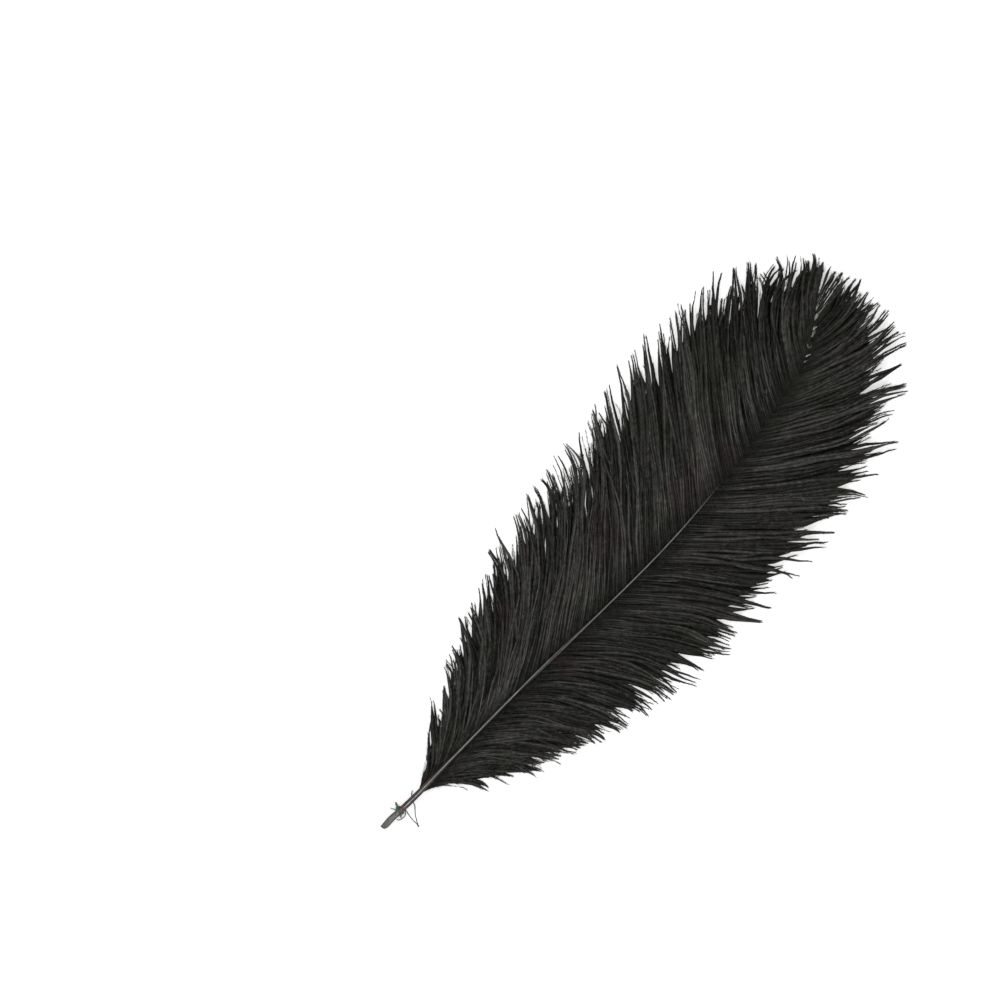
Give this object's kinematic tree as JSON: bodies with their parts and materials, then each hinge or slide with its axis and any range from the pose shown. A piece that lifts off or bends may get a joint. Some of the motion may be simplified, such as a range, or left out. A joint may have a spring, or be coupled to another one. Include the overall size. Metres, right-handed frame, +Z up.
{
  "type": "ostrich feather",
  "caption": "Full, black-dyed ostrich plume lying flat, with soft drooping vanes either side of a pale-lined shaft, a hollow quill and ends of stringing thread tied round it.",
  "frame": {"origin": "middle of the plume's own footprint, on the surface it lies on; the threads don't count", "axes": "+X from the quill's cut end to the tip, +Y towards the plume's left vane seen from above, +Z up"},
  "size_m": [0.3598, 0.137, 0.0167],
  "materials": {
    "vane": "soft, black-dyed barbs with a faint grey sheen",
    "quill": "smooth, horny, grey-dyed, with black edges and a pale line along the middle",
    "green_thread": "fuzzy spun cotton",
    "dark_thread": "twisted cotton, dyed grey"
  },
  "bodies": {
    "root": {"feather": "vane", "green_thread": "green_thread", "dark_thread": "dark_thread"}
  },
  "joints": []
}
